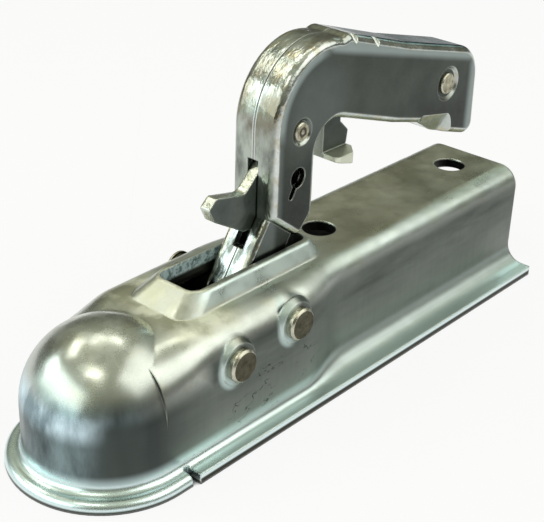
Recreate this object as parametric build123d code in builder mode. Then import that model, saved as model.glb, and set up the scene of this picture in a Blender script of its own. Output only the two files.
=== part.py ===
from build123d import *
from math import atan2, cos, degrees, hypot, radians, sin, tan
import os

os.makedirs("parts", exist_ok=True)

# Origin: centre of the towing ball. +X runs back along the drawbar, +Z is up.
# All sizes are in millimetres.

# Ball socket and pressed sheet of the housing
ball_radius = 25.0
seat_gap = 0.5
sheet = 4.0
seat_radius = ball_radius + seat_gap
dome_radius = seat_radius + sheet

# Housing: front box, narrower drawbar channel behind it, flange all round
top_height = 25.5
channel_inside = 40.5
channel_half = channel_inside / 2 + sheet
channel_shoulder = 8.6
housing_length = 218.6
front_half = dome_radius
ramp_end = 24.0
ramp_drop = 2.0
ramp_shoulder = 18.0
front_shoulder = 12.5
rear_shoulder = 11.5
neck_in_start = 70.0
neck_in_end = 98.0
loft_steps = 6

flange_bottom = -22.0
flange_half = 36.6
rim_radius = 35.6
rim_round = 2.8
foot_fillet = 3.0
rear_foot_fillet = 8.0
notch_x = 8.5
notch_width = 2.6
notch_depth = 6.0

# Raised collar round the lever slot
collar_height = 6.0
collar_front = 21.8
collar_nose_half = 11.6
collar_shoulder_x = 28.0
collar_half = 15.2
collar_rear = 97.5
collar_rim = 2.2
collar_front_rim = 1.2
collar_top_round = 1.8
collar_nose_round = 4.0
collar_shoulder_round = 10.0
collar_heel_round = 7.8
slot_front = 32.0
slot_rear = 92.6
slot_half = 9.4
slot_corner = 4.0

# Drawbar bolts through the top of the channel
bolt_pitch = 90.0
bolt_first = 111.0
bolt_hole_radius = 6.75

# Cross pins
pin_radius = 5.0
pin_head_radius = 6.2
pin_head_thickness = 2.8
pin_tail_thickness = 1.6
pin_chamfer = 0.8
boss_radius = 8.6
boss_height = 0.8
jaw_pin_x = 33.5
jaw_pin_drop = 14.0
lever_pin_x = 63.6
lever_pin_drop = 10.2

# Clearances
running_gap = 0.05
side_gap = 0.3
free_gap = 0.4

# Lever: two pressed half shells
shell_sheet = 2.8
grip_half = 10.3
arm_half = 8.0
eye_radius = 10.5
neck_front = 71.2
neck_rear = 94.4
bend_radius = 29.0
bend_height = 77.0
grip_top_slope = 14.3
grip_under_slope = 17.4
grip_under_start_z = 75.4
grip_under_start_x = 106.6
grip_tail = 198.8
tail_lean = 1.4
inner_bend_radius = 11.0
tail_radius = 15.0
tail_under_radius = 5.0
crest_x = 111.0
crest_rise = 1.9
crest_end = 148.0
crest_round = 4.0
crease_x = 113.6
crease_pitch = 13.4
crease_radius = 1.5
crease_depth = 1.1
lip_end = 143.0
lip_drop = 0.8
palm_drop = 3.2
palm_start = 161.0
palm_full = 173.0
palm_round = 12.0
scoop_front = 156.0
scoop_length = 29.0
scoop_above = 3.0
scoop_slope = 11.5
scoop_lean = 27.0
scoop_round = 6.0
shell_edge_radius = 3.2
arm_edge_radius = 2.0
neck_kink_z = 45.0
neck_heel_x = 86.6
neck_heel_z = 33.4
neck_heel_radius = 3.5
neck_calf_z = 41.5
neck_calf_radius = 6.0
arm_front_x = 56.4
arm_front_z = 22.5
arm_root_x = 74.5
arm_root_z = 17.5

# Rivets of the lever, each in a pressed dimple
rivet_radius = 3.0
rivet_head_thickness = 1.4
rivet_chamfer = 0.5
sleeve_radius = 4.0
dimple_depth = 1.2
dimple_slope = 1.2
neck_rivet_x = 85.7
neck_rivet_z = 75.7
neck_head_radius = 3.6
neck_dimple_radius = 5.2
grip_rivet_x = 177.0
grip_rivet_z = 71.4
grip_head_radius = 4.4
grip_dimple_radius = 7.2

# Keyhole in both sides of the neck
keyhole_x = 84.3
keyhole_z = 58.4
keyhole_radius = 3.9
keyhole_slot_width = 2.6
keyhole_slot_length = 8.5
keyhole_lean = 28.0

# Catch plate with its nose in front and its finger tab behind
catch_thickness = 4.4
catch_slot_gap = 0.35
catch_slot_top = 66.5
window_low_z = 34.0
nose_top_x = 50.6
nose_top_z = 58.3
nose_tip_x = 46.8
nose_tip_z = 54.9
nose_chin = 5.2
nose_root_x = 64.7
nose_root_z = 40.8
nose_bridge_x = 65.0
nose_bridge_z = 55.3
nose_round = 1.6
nose_bridge_round = 4.0
brow_x = 74.8
brow_z = 64.7
catch_tail_width = 4.0
tail_notch_deg = 25.0
notch_sink = 0.8
tail_knee_z = 42.0
tab_reach = 9.8
tab_thickness = 4.2
tab_level = 58.8
tab_front = 107.7
tab_rear = 121.8
tab_rear_chamfer = 4.9
tab_front_chamfer = 1.5
tab_front_thickness = 1.9
tab_knee_x = 115.8
web_rear_x = 122.6
web_rear_z = 64.4
web_waist_x = 117.7
web_waist_z = 69.0
web_round = 1.0

# Jaw under the ball, the link that drives it and the crank pin in the lever
jaw_open_deg = 19.5
lever_open_deg = 38.0
crank_radius = 13.0
crank_lug_radius = 6.2
jaw_link_radius = 25.0
mid_stroke_deg = -66.3
jaw_pad_thickness = 5.5
jaw_half = 13.5
jaw_cheek_thickness = 4.5
jaw_lip_deg = -34.0
jaw_lip_radius = 2.4
jaw_hub_radius = 9.6
jaw_lug_radius = 6.6
jaw_sleeve_wall = 1.5
spacer_radius = 6.0
link_pin_radius = 3.0
link_head_radius = 5.2
link_hub_radius = 5.4
link_web = 7.0
link_half = 4.8
link_play = 0.5

# Springs
main_wire_radius = 1.2
main_coil_pitch = 2.75
main_coil_turns = 5.25
main_coil_deg = -30.0
main_leg_start = 16.4
main_leg_end = 7.5
catch_wire_radius = 0.4
catch_coil_pitch = 1.2
catch_coil_turns = 2
catch_coil_deg = 180.0
catch_leg_start = 5.0
catch_leg_end = 6.0

# Values that follow from the sizes above
collar_top = top_height + collar_height
flange_top = flange_bottom + sheet
wall_inside = front_half - sheet
boss_face = front_half + boss_height
jaw_pin_z = top_height - jaw_pin_drop
lever_pin_z = top_height - lever_pin_drop
catch_half = catch_thickness / 2
grip_inside = grip_half - shell_sheet
arm_inside = arm_half - shell_sheet
jaw_sleeve_radius = pin_radius + running_gap + jaw_sleeve_wall
jaw_inside = jaw_half - jaw_cheek_thickness
main_coil_radius = jaw_sleeve_radius + free_gap + main_wire_radius
catch_coil_radius = sleeve_radius + side_gap + catch_wire_radius


def turned(x, z, about_x, about_z, angle):
    """Turn a point of the XZ plane, positive from +X towards +Z."""
    dx, dz = x - about_x, z - about_z
    c, s = cos(radians(angle)), sin(radians(angle))
    return about_x + c * dx - s * dz, about_z + s * dx + c * dz


# Crank and jaw arm point the same way at mid stroke, so the link between them stays parallel
arm_x, arm_z = cos(radians(mid_stroke_deg)), sin(radians(mid_stroke_deg))
crank_mid = (lever_pin_x + crank_radius * arm_x, lever_pin_z + crank_radius * arm_z)
jaw_link_mid = (jaw_pin_x + jaw_link_radius * arm_x, jaw_pin_z + jaw_link_radius * arm_z)
crank_x, crank_z = turned(*crank_mid, lever_pin_x, lever_pin_z, -lever_open_deg / 2)
link_x, link_z = turned(*jaw_link_mid, jaw_pin_x, jaw_pin_z, -jaw_open_deg / 2)
print(f"crank pin {crank_x:.4f} {crank_z:.4f}, link pin {link_x:.4f} {link_z:.4f}")


def spacer_end(pin_x, pin_z):
    """Side position where a spacer on this pin meets the rounded corner of the box."""
    along = (pin_x - ramp_end) / (neck_in_start - ramp_end)
    shoulder = front_shoulder + (rear_shoulder - front_shoulder) * along
    corner = shoulder - sheet
    rise = max(pin_z + spacer_radius - (top_height - shoulder), 0)
    return wall_inside - corner + max(corner**2 - rise**2, 0) ** 0.5 - side_gap


def smooth(t):
    """Blend from 0 to 1 with level ends."""
    return t * t * (3 - 2 * t)


def blend(a, b, t):
    return a + (b - a) * smooth(t)


def outer_section(x, half, top, shoulder, foot):
    """Cross-section of the housing from outside: flanges, flat sides, round shoulders."""
    with BuildSketch(Plane.YZ.offset(x)) as section:
        with BuildLine():
            Polyline((0, flange_bottom), (flange_half, flange_bottom),
                     (flange_half, flange_top), (half + foot, flange_top))
            CenterArc((half + foot, flange_top + foot), foot, -90, -90)
            Line((half, flange_top + foot), (half, top - shoulder))
            CenterArc((half - shoulder, top - shoulder), shoulder, 0, 90)
            Line((half - shoulder, top), (0, top))
            mirror(about=Plane.YZ)
        make_face()
    return section.sketch


def inner_section(x, half, top, shoulder, foot):
    """The same cross-section one sheet further in, open below."""
    wall = half - sheet
    flare = foot + sheet
    inner_shoulder = shoulder - sheet
    roof = top - sheet
    below = flange_bottom - sheet
    with BuildSketch(Plane.YZ.offset(x)) as section:
        with BuildLine():
            Polyline((0, below), (wall + flare, below), (wall + flare, flange_bottom))
            CenterArc((wall + flare, flange_bottom + flare), flare, -90, -90)
            Line((wall, flange_bottom + flare), (wall, roof - inner_shoulder))
            CenterArc((wall - inner_shoulder, roof - inner_shoulder), inner_shoulder, 0, 90)
            Line((wall - inner_shoulder, roof), (0, roof))
            mirror(about=Plane.YZ)
        make_face()
    return section.sketch


def rail(section, tail):
    """Loft the front box, the narrowing and the channel from one kind of section."""
    steps = [i / (loft_steps - 1) for i in range(loft_steps)]
    ramp = [
        section(ramp_end * t, front_half, blend(top_height - ramp_drop, top_height, t),
                blend(ramp_shoulder, front_shoulder, t), foot_fillet)
        for t in steps
    ]
    narrowing = [
        section(neck_in_start + (neck_in_end - neck_in_start) * t,
                blend(front_half, channel_half, t), top_height,
                blend(rear_shoulder, channel_shoulder, t),
                blend(foot_fillet, rear_foot_fillet, t))
        for t in steps
    ]
    with BuildPart() as form:
        loft(sections=ramp)
        loft(sections=[ramp[-1], narrowing[0]])
        loft(sections=narrowing)
        extrude(to_extrude=narrowing[-1], amount=tail - neck_in_end)
    return form.part


def collar_outline(z, inset, x_inset):
    """Outline of the collar at one height: narrow nose in front, round heel behind."""
    with BuildSketch(Plane.XY.offset(z)) as outline:
        with BuildLine():
            Polyline((collar_front + x_inset, 0),
                     (collar_front + x_inset, collar_nose_half - inset),
                     (collar_shoulder_x + x_inset, collar_half - inset),
                     (collar_rear - inset, collar_half - inset),
                     (collar_rear - inset, 0))
            mirror(about=Plane.XZ)
        make_face()
        fillet(outline.vertices().group_by(Axis.X)[-1], collar_heel_round - inset)
        for side in (-1, 1):
            nose = (collar_front + x_inset, side * (collar_nose_half - inset))
            shoulder = (collar_shoulder_x + x_inset, side * (collar_half - inset))
            fillet(outline.vertices().sort_by_distance(nose)[0], collar_nose_round)
            fillet(outline.vertices().sort_by_distance(shoulder)[0], collar_shoulder_round)
    return outline.sketch


def rim_edge():
    """Outline of the rim from its foot out and round its upper corner, for a sketch in progress."""
    Polyline((0, flange_bottom), (rim_radius, flange_bottom), (rim_radius, flange_top - rim_round))
    CenterArc((rim_radius - rim_round, flange_top - rim_round), rim_round, 0, 90)


# Housing: one pressing with dome, rim, flanges, collar, slot and holes
collar_side_lean = collar_half - slot_half - collar_rim
collar_front_lean = slot_front - collar_front - collar_front_rim
with BuildPart() as body_shell:
    with BuildSketch(Plane.XZ):
        with BuildLine():
            rim_edge()
            Line((rim_radius - rim_round, flange_top), (dome_radius + foot_fillet, flange_top))
            CenterArc((dome_radius + foot_fillet, flange_top + foot_fillet), foot_fillet, -90, -90)
            Line((dome_radius, flange_top + foot_fillet), (dome_radius, 0))
            CenterArc((0, 0), dome_radius, 0, 90)
            Line((0, dome_radius), (0, flange_bottom))
        make_face()
    revolve(axis=Axis.Z)
    add(rail(outer_section, housing_length))
    # In front of the notches the flange has the rim's rounded edge
    for side in (-1, 1):
        with Locations((0, side * (rim_radius - rim_round), flange_bottom - sheet)):
            Box(notch_x, flange_half, 2 * sheet + rim_round,
                align=(Align.MIN, Align.MIN if side > 0 else Align.MAX, Align.MIN), mode=Mode.SUBTRACT)
    with BuildSketch(Plane.YZ):
        with BuildLine():
            rim_edge()
            Polyline((rim_radius - rim_round, flange_top), (0, flange_top), (0, flange_bottom))
        make_face()
        mirror(about=Plane.YZ)
    extrude(amount=notch_x - notch_width)
    loft(sections=[
        collar_outline(top_height - sheet / 2, 0, 0),
        collar_outline(top_height, 0, 0),
    ])
    loft(sections=[
        collar_outline(top_height, 0, 0),
        collar_outline(collar_top, collar_side_lean, collar_front_lean),
    ])
    fillet(body_shell.faces().sort_by(Axis.Z)[-1].outer_wire().edges(), collar_top_round)
    with Locations(*[Location((x, sheet / 2 - front_half, z), (90, 0, 0))
                     for x, z in ((jaw_pin_x, jaw_pin_z), (lever_pin_x, lever_pin_z))]):
        Cone(boss_radius + boss_height, boss_radius - boss_height, sheet / 2 + boss_height,
             align=(Align.CENTER, Align.CENTER, Align.MIN))
    # The room inside: ball seat, box, channel and the hollow under the collar
    with BuildSketch(Plane.XZ):
        with BuildLine():
            flare = foot_fillet + sheet
            Polyline((0, flange_bottom - sheet), (seat_radius + flare, flange_bottom - sheet),
                     (seat_radius + flare, flange_bottom))
            CenterArc((seat_radius + flare, flange_bottom + flare), flare, -90, -90)
            Line((seat_radius, flange_bottom + flare), (seat_radius, 0))
            CenterArc((0, 0), seat_radius, 0, 90)
            Line((0, seat_radius), (0, flange_bottom - sheet))
        make_face()
    revolve(axis=Axis.Z, mode=Mode.SUBTRACT)
    add(rail(inner_section, housing_length + sheet), mode=Mode.SUBTRACT)
    loft(sections=[
        collar_outline(top_height - 2 * sheet, sheet, sheet),
        collar_outline(top_height - sheet, sheet, sheet),
    ], mode=Mode.SUBTRACT)
    loft(sections=[
        collar_outline(top_height - sheet, sheet, sheet),
        collar_outline(collar_top - sheet, sheet + collar_side_lean, sheet + collar_front_lean),
    ], mode=Mode.SUBTRACT)
    # Lever slot, bolt holes, pin holes and the notches that end the front rim
    with BuildSketch(Plane.XY.offset(top_height - sheet)):
        with Locations(((slot_front + slot_rear) / 2, 0)):
            RectangleRounded(slot_rear - slot_front, 2 * slot_half, slot_corner)
    extrude(amount=collar_height + 2 * sheet, mode=Mode.SUBTRACT)
    with Locations((bolt_first, 0, top_height), (bolt_first + bolt_pitch, 0, top_height)):
        Hole(bolt_hole_radius, depth=2 * sheet)
    with BuildSketch(Plane.XZ):
        with Locations((jaw_pin_x, jaw_pin_z), (lever_pin_x, lever_pin_z)):
            Circle(pin_radius + running_gap)
    extrude(amount=2 * front_half, both=True, mode=Mode.SUBTRACT)
    with Locations((notch_x, flange_half, flange_bottom), (notch_x, -flange_half, flange_bottom)):
        Box(notch_width, 2 * notch_depth, 3 * sheet,
            align=(Align.MAX, Align.CENTER, Align.CENTER), mode=Mode.SUBTRACT)
body_shell.part.label = "body_shell"
export_step(body_shell.part, "parts/body_shell.step")


def rivet_pin(x, z, radius, near, far, head, near_thickness, far_thickness, chamfer_size):
    """Cross pin along Y with a chamfered head at the near end and a riveted one at the far end."""
    with BuildPart() as pin:
        with BuildSketch(Plane.XZ.offset(-far)):
            with Locations((x, z)):
                Circle(radius)
        extrude(amount=near + far)
        with BuildSketch(Plane.XZ.offset(near)):
            with Locations((x, z)):
                Circle(head)
        extrude(amount=near_thickness)
        with BuildSketch(Plane.XZ.offset(-far)):
            with Locations((x, z)):
                Circle(head)
        extrude(amount=-far_thickness)
        ends = pin.faces().sort_by(Axis.Y)
        chamfer([ends[0].edges(), ends[-1].edges()], chamfer_size)
    return pin.part


def tube(x, z, inner, outer, start, end):
    """Plain tube along Y from one side position to another."""
    with BuildPart() as pipe:
        with BuildSketch(Plane.XZ.offset(-start)):
            with Locations((x, z)):
                Circle(outer)
                Circle(inner, mode=Mode.SUBTRACT)
        extrude(amount=start - end)
    return pipe.part


def coil(x, y, z, start_deg, pitch, turns, radius, wire, start_leg, end_leg):
    """Torsion spring about a cross pin, wound towards -Y, with a straight leg at each end."""
    start = Plane((x, y, z), x_dir=(cos(radians(start_deg)), 0, sin(radians(start_deg))),
                  z_dir=(0, -1, 0))
    with BuildPart() as spring:
        with BuildLine():
            turn = Helix(pitch, pitch * turns, radius)
            first = Line(turn @ 0 - (turn % 0) * start_leg, turn @ 0)
            Line(turn @ 1, turn @ 1 + (turn % 1) * end_leg)
        with BuildSketch(Plane(first @ 0, z_dir=first % 0)):
            Circle(wire)
        sweep()
    with BuildPart() as placed:
        with Locations(start.location):
            add(spring.part)
    return placed.part


# Cross pins, the tubes they carry and the spacers out to the walls
bore = pin_radius + running_gap
sleeve_jaw_half = jaw_half + side_gap
sleeve_lever_half = arm_half + side_gap
with BuildPart() as jaw_pin:
    add(rivet_pin(jaw_pin_x, jaw_pin_z, pin_radius, boss_face, front_half, pin_head_radius,
                  pin_head_thickness, pin_tail_thickness, pin_chamfer))
jaw_pin.part.label = "jaw_pin"
export_step(jaw_pin.part, "parts/jaw_pin.step")

with BuildPart() as lever_pin:
    add(rivet_pin(lever_pin_x, lever_pin_z, pin_radius, boss_face, front_half, pin_head_radius,
                  pin_head_thickness, pin_tail_thickness, pin_chamfer))
lever_pin.part.label = "lever_pin"
export_step(lever_pin.part, "parts/lever_pin.step")

with BuildPart() as jaw_sleeve:
    add(tube(jaw_pin_x, jaw_pin_z, bore, jaw_sleeve_radius, -sleeve_jaw_half, sleeve_jaw_half))
jaw_sleeve.part.label = "jaw_sleeve"
export_step(jaw_sleeve.part, "parts/jaw_sleeve.step")

with BuildPart() as jaw_spacer_left:
    add(tube(jaw_pin_x, jaw_pin_z, bore, spacer_radius, -spacer_end(jaw_pin_x, jaw_pin_z), -sleeve_jaw_half))
jaw_spacer_left.part.label = "jaw_spacer_left"
export_step(jaw_spacer_left.part, "parts/jaw_spacer_left.step")

with BuildPart() as jaw_spacer_right:
    add(tube(jaw_pin_x, jaw_pin_z, bore, spacer_radius, sleeve_jaw_half, spacer_end(jaw_pin_x, jaw_pin_z)))
jaw_spacer_right.part.label = "jaw_spacer_right"
export_step(jaw_spacer_right.part, "parts/jaw_spacer_right.step")

with BuildPart() as lever_sleeve:
    add(tube(lever_pin_x, lever_pin_z, bore, jaw_sleeve_radius,
             -sleeve_lever_half, sleeve_lever_half))
    # Notch that the catch tail drops towards
    with BuildSketch(Plane.XZ):
        with Locations(Location((lever_pin_x, lever_pin_z, 0), (0, 0, tail_notch_deg))):
            with Locations((jaw_sleeve_radius, 0)):
                Rectangle(2 * notch_sink, catch_tail_width + 2 * free_gap)
    extrude(amount=catch_half + free_gap, both=True, mode=Mode.SUBTRACT)
lever_sleeve.part.label = "lever_sleeve"
export_step(lever_sleeve.part, "parts/lever_sleeve.step")

with BuildPart() as lever_spacer_left:
    add(tube(lever_pin_x, lever_pin_z, bore, spacer_radius,
             -spacer_end(lever_pin_x, lever_pin_z), -sleeve_lever_half))
lever_spacer_left.part.label = "lever_spacer_left"
export_step(lever_spacer_left.part, "parts/lever_spacer_left.step")

with BuildPart() as lever_spacer_right:
    add(tube(lever_pin_x, lever_pin_z, bore, spacer_radius,
             sleeve_lever_half, spacer_end(lever_pin_x, lever_pin_z)))
lever_spacer_right.part.label = "lever_spacer_right"
export_step(lever_spacer_right.part, "parts/lever_spacer_right.step")


# Outline of neck and grip seen from the side
top_x = neck_front + bend_radius + bend_radius * sin(radians(grip_top_slope))
top_z = bend_height + bend_radius * cos(radians(grip_top_slope))


def under_z(x):
    return grip_under_start_z - (x - grip_under_start_x) * tan(radians(grip_under_slope))


def grip_top_z(x):
    return top_z - (x - top_x) * tan(radians(grip_top_slope))


tail_top_z = grip_top_z(grip_tail)


def neck_outline(palm, lip):
    """Side view of neck and grip, with the drop of the palm swell and of the lip under the grip."""
    tail_x = grip_tail + tail_lean
    tail_z = under_z(tail_x) - palm
    with BuildSketch(Plane.XZ) as outline:
        with BuildLine():
            CenterArc((neck_front + bend_radius, bend_height), bend_radius,
                      90 - grip_top_slope, 90 + grip_top_slope)
            Polyline((neck_front, bend_height), (neck_front, neck_kink_z),
                     (neck_heel_x, neck_heel_z), (neck_rear, neck_calf_z),
                     (neck_rear, under_z(neck_rear)), (lip_end, under_z(lip_end) - lip),
                     (palm_start, under_z(palm_start)), (palm_full, under_z(palm_full) - palm),
                     (tail_x, tail_z), (grip_tail, tail_top_z), (crest_end, grip_top_z(crest_end)),
                     (crest_x, grip_top_z(crest_x) + crest_rise), (top_x, top_z))
        make_face()
        for x, z, radius in ((grip_tail, tail_top_z, tail_radius), (tail_x, tail_z, tail_under_radius),
                             (palm_start, under_z(palm_start), palm_round),
                             (palm_full, under_z(palm_full) - palm, palm_round),
                             (crest_x, grip_top_z(crest_x) + crest_rise, crest_round),
                             (top_x, top_z, crest_round),
                             (neck_rear, under_z(neck_rear), inner_bend_radius),
                             (neck_heel_x, neck_heel_z, neck_heel_radius),
                             (neck_rear, neck_calf_z, neck_calf_radius)):
            fillet(outline.vertices().sort_by_distance((x, z))[0], radius)
    return outline.sketch


def arm_outline():
    """Side view of the arm: plate from the neck down to the eye, with the crank lug below."""
    with BuildSketch(Plane.XZ) as outline:
        with BuildLine():
            Polyline((neck_front, neck_kink_z + shell_sheet), (neck_front, neck_kink_z),
                     (arm_front_x, arm_front_z), (lever_pin_x, lever_pin_z),
                     (arm_root_x, arm_root_z), (neck_heel_x, neck_heel_z + shell_sheet),
                     (neck_heel_x, neck_kink_z + shell_sheet), close=True)
        make_face()
        with BuildSketch(Plane.XZ, mode=Mode.PRIVATE) as crank:
            with Locations((lever_pin_x, lever_pin_z)):
                Circle(eye_radius)
            with Locations((crank_x, crank_z)):
                Circle(crank_lug_radius)
            make_hull()
        add(crank.sketch)
    return outline.sketch


# Arm of the lever with rounded edges
with BuildPart() as arm_form:
    extrude(to_extrude=arm_outline(), amount=arm_half, both=True)
    sides = arm_form.faces().sort_by(Axis.Y)
    fillet([sides[0].edges(), sides[-1].edges()], arm_edge_radius)

# Scoops that lean in along both lower edges of the palm swell
slope, lean = radians(scoop_slope), radians(scoop_lean)
with BuildPart() as scoops:
    for side in (-1, 1):
        across = (side * sin(slope) * cos(lean), sin(lean), side * cos(slope) * cos(lean))
        start = (scoop_front, side * grip_half, under_z(scoop_front) + scoop_above)
        with BuildSketch(Plane(start, x_dir=(cos(slope), 0, -sin(slope)), z_dir=across)) as floor:
            Rectangle(scoop_length, grip_half, align=(Align.MIN, Align.MIN))
            fillet(floor.vertices().group_by(Axis.Y)[0], scoop_round)
        extrude(amount=grip_half, both=True)

# Lever as one hollow form, parted afterwards along the seam
with BuildPart() as lever_form:
    extrude(to_extrude=neck_outline(palm_drop, lip_drop), amount=grip_half, both=True)
    rims = lever_form.faces().sort_by(Axis.Y)
    fillet([rims[0].edges(), rims[-1].edges()], shell_edge_radius)
    add(arm_form.part)
    # Creases across the upper edges behind the bend, where the sheet is gathered
    crease_out = shell_edge_radius + crease_radius - crease_depth
    for x in (crease_x, crease_x + crease_pitch):
        for side in (-1, 1):
            along = crease_out / 2**0.5
            crest_z = grip_top_z(crest_x) + crest_rise
            rise = crest_z + (grip_top_z(crest_end) - crest_z) * (x - crest_x) / (crest_end - crest_x)
            centre = (x, side * (grip_half - shell_edge_radius + along), rise - shell_edge_radius + along)
            with Locations(Location(centre, (side * 45, 0, 0))):
                Cylinder(crease_radius, 6 * shell_edge_radius, mode=Mode.SUBTRACT)
    add(scoops.part, mode=Mode.SUBTRACT)
    # Hollow of neck and grip
    with BuildSketch(Plane.XZ):
        add(neck_outline(0, 0))
        offset(amount=-shell_sheet)
    extrude(amount=grip_inside, both=True, mode=Mode.SUBTRACT)
    # Hollow of the arm, open behind and below for the link and the catch tail
    with BuildSketch(Plane.XZ):
        with BuildLine():
            front_lean = degrees(atan2(neck_kink_z - arm_front_z, neck_front - arm_front_x))
            set_back = shell_sheet / sin(radians(front_lean))
            Polyline((neck_front + shell_sheet, neck_kink_z + 2 * shell_sheet),
                     (neck_front + set_back, neck_kink_z), (arm_front_x + set_back, arm_front_z),
                     (arm_front_x - 3 * set_back, arm_front_z - set_back),
                     (arm_front_x - 3 * set_back, arm_front_z - 8 * set_back),
                     (neck_rear, arm_front_z - 8 * set_back), (neck_rear, neck_heel_z + shell_sheet),
                     (neck_heel_x, neck_kink_z), (neck_heel_x, neck_kink_z + 2 * shell_sheet),
                     close=True)
        make_face()
    extrude(amount=arm_inside, both=True, mode=Mode.SUBTRACT)
    # Dimples for the rivets, pressed in from both sides
    for x, z, radius in ((neck_rivet_x, neck_rivet_z, neck_dimple_radius),
                         (grip_rivet_x, grip_rivet_z, grip_dimple_radius)):
        with Locations(*[Location((x, side * grip_inside, z), (-90 * side, 0, 0))
                         for side in (-1, 1)]):
            Cone(radius, radius - dimple_slope, dimple_depth, rotation=(180, 0, 0),
                 align=(Align.CENTER, Align.CENTER, Align.MIN))
            with Locations((0, 0, shell_sheet)):
                Cone(radius, radius - dimple_slope, dimple_depth, rotation=(180, 0, 0),
                     align=(Align.CENTER, Align.CENTER, Align.MIN), mode=Mode.SUBTRACT)
    # Bores, keyhole, catch slot in front and finger slot behind
    with BuildSketch(Plane.XZ):
        with Locations((neck_rivet_x, neck_rivet_z), (grip_rivet_x, grip_rivet_z)):
            Circle(rivet_radius + running_gap)
        with Locations((crank_x, crank_z)):
            Circle(link_pin_radius + running_gap)
        with Locations((lever_pin_x, lever_pin_z)):
            Circle(jaw_sleeve_radius + running_gap)
        with Locations((keyhole_x, keyhole_z)):
            Circle(keyhole_radius)
        with Locations(Location((keyhole_x, keyhole_z, 0), (0, 0, 270 - keyhole_lean))):
            with Locations((keyhole_slot_length / 2, 0)):
                SlotOverall(keyhole_slot_length, keyhole_slot_width)
    extrude(amount=grip_half * 2, both=True, mode=Mode.SUBTRACT)
    window_low_x = arm_front_x + (window_low_z - arm_front_z) / tan(radians(front_lean))
    with BuildSketch(Plane.XZ):
        with BuildLine():
            Polyline((neck_front - shell_sheet, catch_slot_top),
                     (neck_front + shell_sheet + free_gap, catch_slot_top),
                     (neck_front + 2 * shell_sheet, neck_kink_z),
                     (window_low_x + 2 * shell_sheet, window_low_z),
                     (window_low_x - 2 * shell_sheet, window_low_z),
                     (neck_front - shell_sheet, neck_kink_z), close=True)
        make_face()
    extrude(amount=catch_half + catch_slot_gap, both=True, mode=Mode.SUBTRACT)
    with BuildSketch(Plane.XZ):
        with Locations(((tab_front + tab_rear) / 2, under_z((tab_front + tab_rear) / 2))):
            Rectangle(tab_rear - tab_front + 2 * shell_sheet, 6 * shell_sheet)
    extrude(amount=catch_half + catch_slot_gap, both=True, mode=Mode.SUBTRACT)

with BuildPart() as lever_shell_left:
    add(lever_form.part)
    split(bisect_by=Plane.XZ, keep=Keep.TOP)
lever_shell_left.part.label = "lever_shell_left"
export_step(lever_shell_left.part, "parts/lever_shell_left.step")

with BuildPart() as lever_shell_right:
    add(lever_form.part)
    split(bisect_by=Plane.XZ, keep=Keep.BOTTOM)
lever_shell_right.part.label = "lever_shell_right"
export_step(lever_shell_right.part, "parts/lever_shell_right.step")

# Rivets and the tubes between the half shells
rivet_seat = grip_half - dimple_depth
with BuildPart() as neck_rivet:
    add(rivet_pin(neck_rivet_x, neck_rivet_z, rivet_radius, rivet_seat, rivet_seat,
                  neck_head_radius, rivet_head_thickness, rivet_head_thickness, rivet_chamfer))
neck_rivet.part.label = "neck_rivet"
export_step(neck_rivet.part, "parts/neck_rivet.step")

with BuildPart() as grip_rivet:
    add(rivet_pin(grip_rivet_x, grip_rivet_z, rivet_radius, rivet_seat, rivet_seat,
                  grip_head_radius, rivet_head_thickness, rivet_head_thickness, rivet_chamfer))
grip_rivet.part.label = "grip_rivet"
export_step(grip_rivet.part, "parts/grip_rivet.step")

tube_half = grip_inside - dimple_depth
with BuildPart() as catch_sleeve:
    add(tube(neck_rivet_x, neck_rivet_z, rivet_radius + running_gap, sleeve_radius,
             -tube_half, tube_half))
catch_sleeve.part.label = "catch_sleeve"
export_step(catch_sleeve.part, "parts/catch_sleeve.step")

with BuildPart() as grip_sleeve:
    add(tube(grip_rivet_x, grip_rivet_z, rivet_radius + running_gap, sleeve_radius,
             -tube_half, tube_half))
grip_sleeve.part.label = "grip_sleeve"
export_step(grip_sleeve.part, "parts/grip_sleeve.step")

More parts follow.
